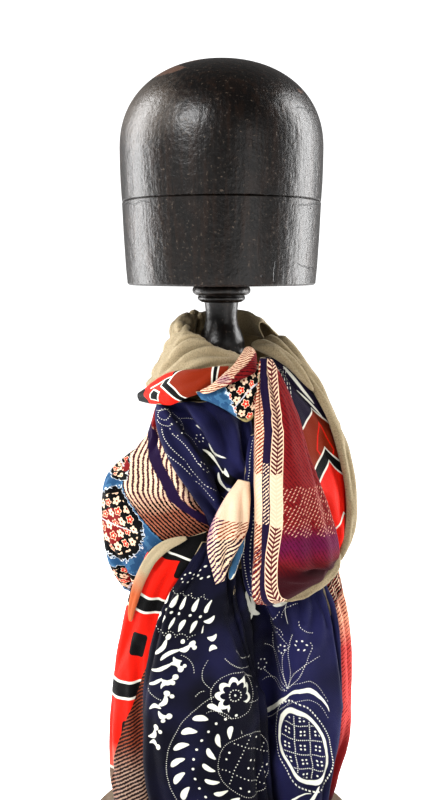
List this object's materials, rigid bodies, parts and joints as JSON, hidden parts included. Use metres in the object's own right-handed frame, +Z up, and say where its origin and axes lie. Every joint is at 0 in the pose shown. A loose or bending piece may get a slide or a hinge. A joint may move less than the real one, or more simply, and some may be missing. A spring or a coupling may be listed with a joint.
{
  "type": "scarf on a hat block stand",
  "caption": "Long printed scarf with a plain reverse, wound and knotted at the neck of a turned wooden stand that carries a hat block.",
  "frame": {"origin": "middle of the stand foot's underside, on the surface it stands on", "axes": "+Z up the stem, the knot and the scarf's two ends face -Y, +X to the viewer's right"},
  "size_m": [0.25, 0.25, 0.6989],
  "materials": {
    "plain_reverse": "soft matt taupe weave",
    "navy_print": "printed bandana on navy",
    "twill_print": "printed cream and rust twill",
    "bold_print": "printed red, black and white shapes",
    "floral_print": "printed small flowers on blue",
    "wine_print": "printed stripes and dark red twill",
    "block_wood": "dark waxed wood, worn",
    "foot_wood": "grey brown weathered wood"
  },
  "bodies": {
    "root": {"neck_wrap": "plain_reverse", "back_drape": "plain_reverse", "left_lobe": "twill_print", "right_fall": "bold_print", "right_rim": "plain_reverse", "right_roll": "plain_reverse", "navy_swag": "navy_print", "wrap_cuff": "bold_print", "inner_fold": "navy_print", "floral_band": "floral_print", "collar_roll": "twill_print", "left_tail_edge": "bold_print", "edge_roll": "plain_reverse", "right_tail_back": "twill_print", "right_tail": "navy_print", "left_tail": "navy_print", "knot_return": "floral_print", "knot_band": "twill_print", "front_lobe": "wine_print", "front_hem": "plain_reverse", "stand_foot": "foot_wood", "stand_stem": "block_wood", "stand_collar": "block_wood", "block_band": "block_wood", "block_crown": "block_wood"}
  },
  "joints": []
}
